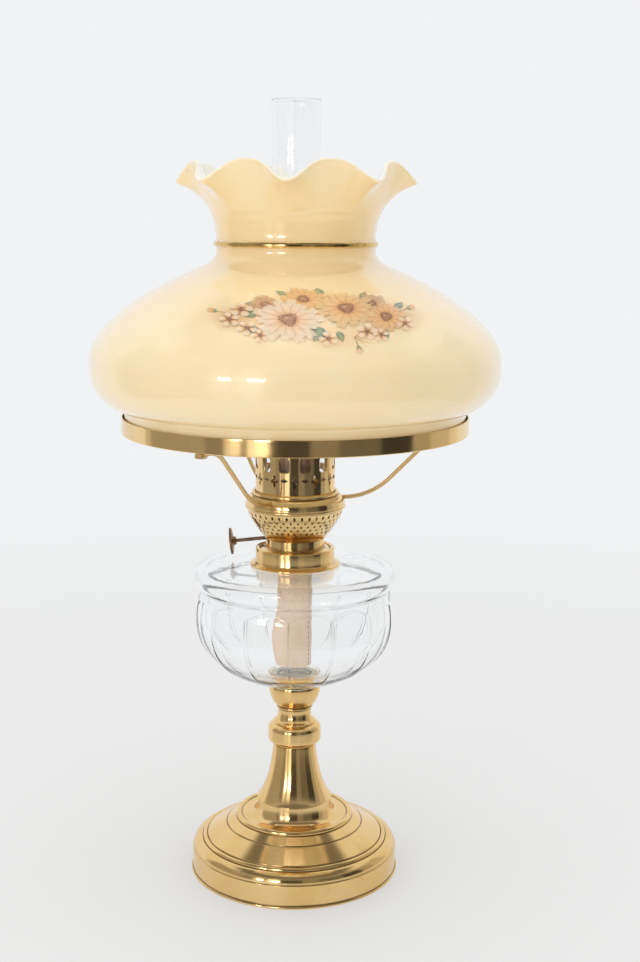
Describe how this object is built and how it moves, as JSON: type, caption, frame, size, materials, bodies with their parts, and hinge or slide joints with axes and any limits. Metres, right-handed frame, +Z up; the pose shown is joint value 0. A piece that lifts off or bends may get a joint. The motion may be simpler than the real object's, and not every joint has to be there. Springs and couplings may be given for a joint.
{
  "type": "kerosene table lamp",
  "caption": "Kerosene table lamp with a stepped brass foot and stem, a panelled glass font, a wick burner, a chimney and a ruffled opal glass shade on a three-armed holder.",
  "frame": {"origin": "on the table under the lamp's axis", "axes": "+Z up along the lamp's axis, the front faces -Y and the wick knob points to -X"},
  "size_m": [0.2828, 0.2828, 0.545],
  "materials": {
    "brass": "polished",
    "dark_brass": "tarnished",
    "iron": "rough cast",
    "steel": "plain",
    "felt": "felt",
    "cotton": "woven",
    "plaster": "matte",
    "clear_glass": "polished clear glass",
    "opal_glass": "glossy cased opal glass"
  },
  "bodies": {
    "stand": {"foot_shell": "brass", "foot_weight": "iron", "foot_felt": "felt", "tie_rod": "steel", "rod_washer": "steel", "rod_nut": "steel", "stem_trumpet": "brass", "stem_knop": "brass", "font_cup": "brass", "cup_plaster": "plaster", "font_glass": "clear_glass", "collar_plaster": "plaster", "font_collar": "brass"},
    "burner": {"burner_base": "brass", "shaft_bush": "brass", "burner_basket": "brass", "burner_floor": "brass", "wick_tube": "dark_brass", "draft_tube": "dark_brass", "gallery": "brass"},
    "winder": {"wick_shaft": "steel", "spur_wheels": "dark_brass", "wick_knob": "dark_brass"},
    "wick_body": {"wick": "cotton"},
    "chimney_body": {"chimney": "clear_glass"},
    "holder": {"holder_collar": "brass", "holder_arm_right": "brass", "holder_arm_back": "brass", "holder_arm_front": "brass", "arm_lugs": "brass", "holder_ring": "brass"},
    "shade_body": {"shade": "opal_glass"}
  },
  "joints": [
    {"name": "burner_lift", "type": "slide", "parent": "stand", "child": "burner", "axis": [0, 0, 1], "range_m": [0, 0.1]},
    {"name": "knob_turn", "type": "hinge", "parent": "burner", "child": "winder", "pos_m": [0, 0.0156, 0.2435], "axis": [-0.9945, 0, -0.1045], "range_deg": [-104, 104]},
    {"name": "wick_raise", "type": "slide", "parent": "burner", "child": "wick_body", "axis": [0, 0, 1], "range_m": [-0.006, 0.006]},
    {"name": "chimney_lift", "type": "slide", "parent": "burner", "child": "chimney_body", "axis": [0, 0, 1], "range_m": [0, 0.23]},
    {"name": "holder_lift", "type": "slide", "parent": "burner", "child": "holder", "axis": [0, 0, 1], "range_m": [0, 0.28]},
    {"name": "shade_lift", "type": "slide", "parent": "holder", "child": "shade_body", "axis": [0, 0, 1], "range_m": [0, 0.23]}
  ],
  "couplings": [
    {"joint": "wick_raise", "follows": "knob_turn", "m_per_rad": 0.0033}
  ]
}
